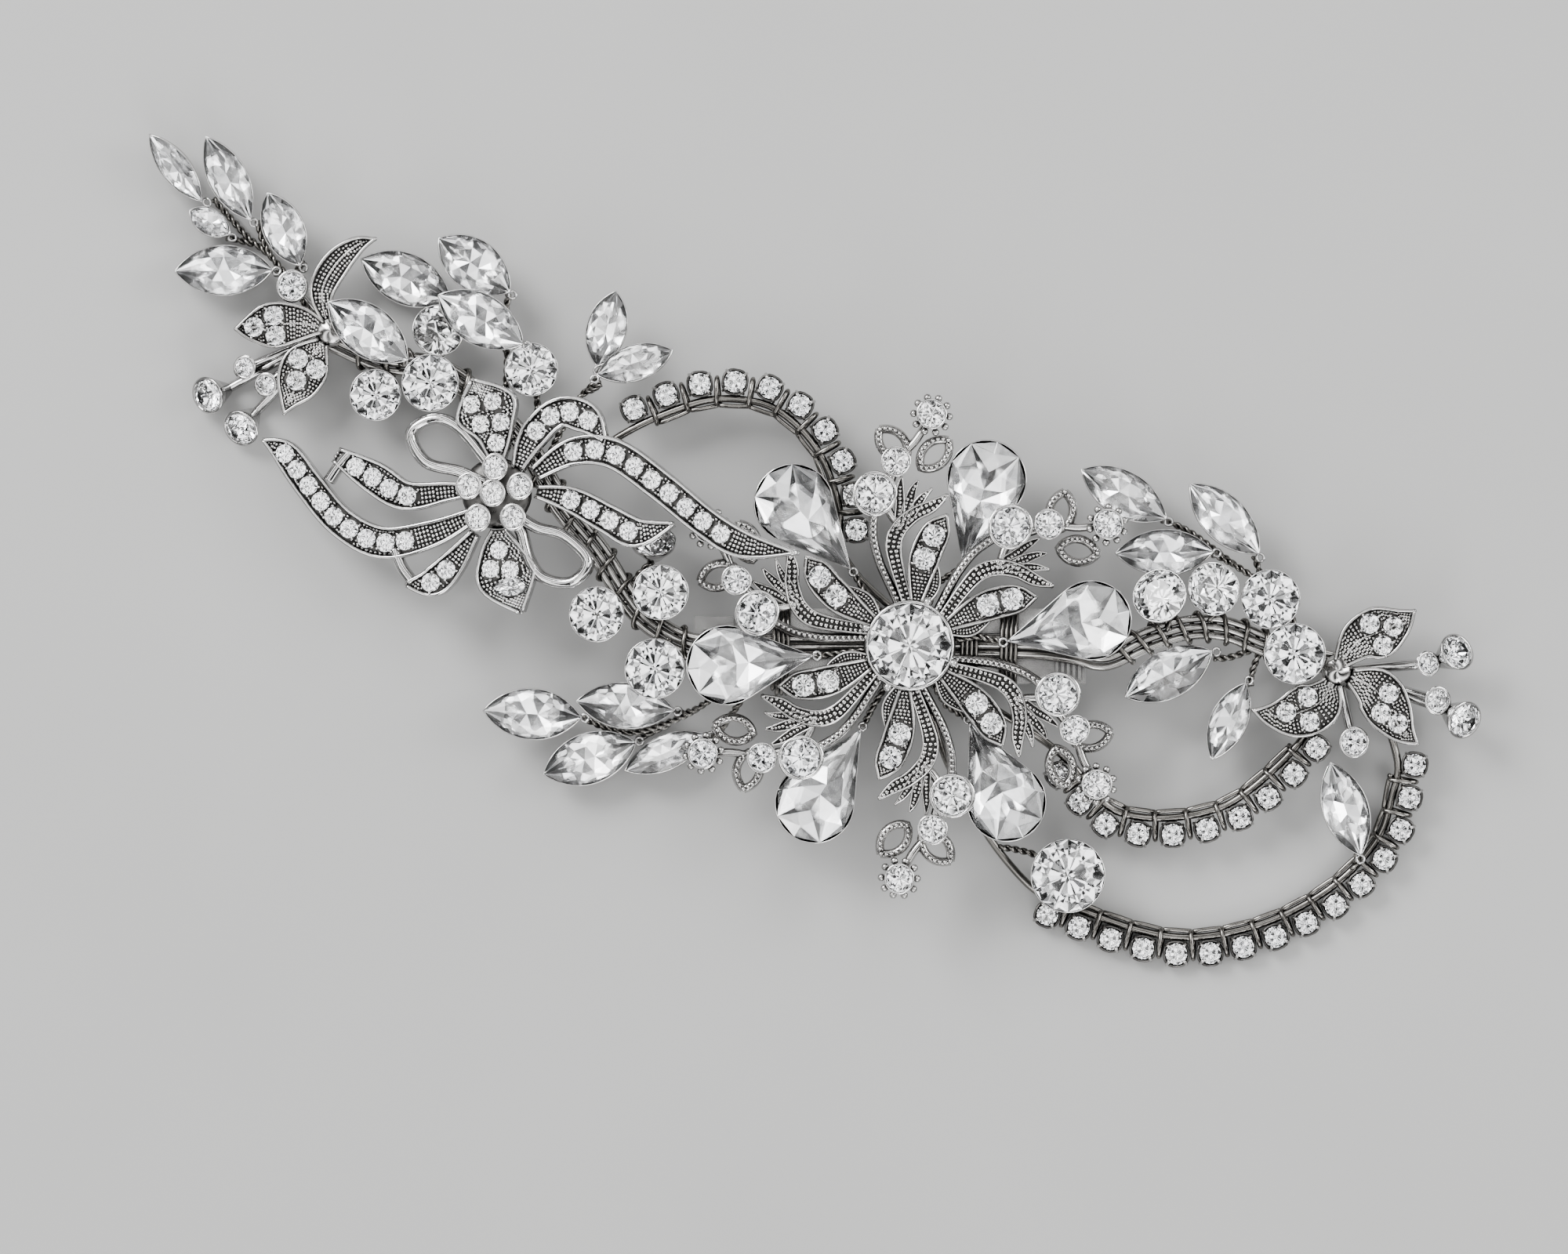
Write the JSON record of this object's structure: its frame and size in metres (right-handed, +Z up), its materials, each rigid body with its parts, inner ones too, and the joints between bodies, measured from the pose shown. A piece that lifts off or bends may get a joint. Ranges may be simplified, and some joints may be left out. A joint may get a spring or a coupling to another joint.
{
  "type": "hair clip",
  "caption": "Bridal hair clip: a wide spray of flower, bow and leaf castings, crystal stones and twisted wire, tied to a small hinged spring clip.",
  "frame": {"origin": "under the flower's centre, on the flat underside of the closed clip arm", "axes": "+X along the clip towards its hinge, +Z up, away from the hair"},
  "size_m": [0.142, 0.0895, 0.017],
  "materials": {
    "silver": "rhodium plate with dark antique recesses",
    "clip_steel": "satin",
    "spring_steel": "satin",
    "wire": "gunmetal, slightly dull",
    "crystal": "clear faceted crystal with a silver foil back"
  },
  "bodies": {
    "spray": {"barrette_base": "clip_steel", "tension_spring": "spring_steel", "hinge_rivet": "spring_steel", "clip_bindings": "wire", "main_stem": "wire", "stem_binding_left": "wire", "stem_binding_right": "wire", "flower_casting": "silver", "centre_bezel": "silver", "centre_stone": "crystal", "arm_bezels": "silver", "arm_stones": "crystal", "petal_stones": "crystal", "pear_settings": "silver", "pear_stones": "crystal", "pear_stems": "wire", "bow_casting": "silver", "bow_centre_cups": "silver", "bow_centre_stones": "crystal", "bow_ribbon_stones": "crystal", "left_leaf_casting": "silver", "left_leaf_stones": "crystal", "left_stamens": "silver", "left_stamen_stones": "crystal", "right_leaf_casting": "silver", "right_leaf_stones": "crystal", "right_stamens": "silver", "right_stamen_stones": "crystal", "upper_chain_cups": "silver", "upper_chain_stones": "crystal", "upper_chain_wire": "wire", "upper_chain_wrap": "wire", "inner_chain_cups": "silver", "inner_chain_stones": "crystal", "inner_chain_wire": "wire", "inner_chain_wrap": "wire", "outer_chain_cups": "silver", "outer_chain_stones": "crystal", "outer_chain_wire": "wire", "outer_chain_wrap": "wire", "tip_spray_settings": "silver", "tip_spray_stones": "crystal", "tip_spray_wires": "wire", "upper_spray_settings": "silver", "upper_spray_stones": "crystal", "upper_spray_wires": "wire", "lower_spray_settings": "silver", "lower_spray_stones": "crystal", "lower_spray_wires": "wire", "right_spray_settings": "silver", "right_spray_stones": "crystal", "right_spray_wires": "wire", "round_cups": "silver", "round_stones": "crystal", "round_stems": "wire"},
    "arm": {"clasp_arm": "clip_steel"},
    "latch_front": {"latch_tab_front": "spring_steel"},
    "latch_back": {"latch_tab_back": "spring_steel"}
  },
  "joints": [
    {"name": "arm_hinge", "type": "hinge", "parent": "spray", "child": "arm", "pos_m": [0.01705, 0, 0.0016], "axis": [0, -1, 0], "range_deg": [0, 50]},
    {"name": "latch_back_squeeze", "type": "hinge", "parent": "spray", "child": "latch_back", "pos_m": [-0.01965, 0.0016, 0.0066], "axis": [-1, 0, 0], "range_deg": [0, 8], "stiffness_Nm_per_rad": 0.09},
    {"name": "latch_front_squeeze", "type": "hinge", "parent": "spray", "child": "latch_front", "pos_m": [-0.01965, -0.0016, 0.0066], "axis": [1, 0, 0], "range_deg": [0, 8], "stiffness_Nm_per_rad": 0.09}
  ]
}
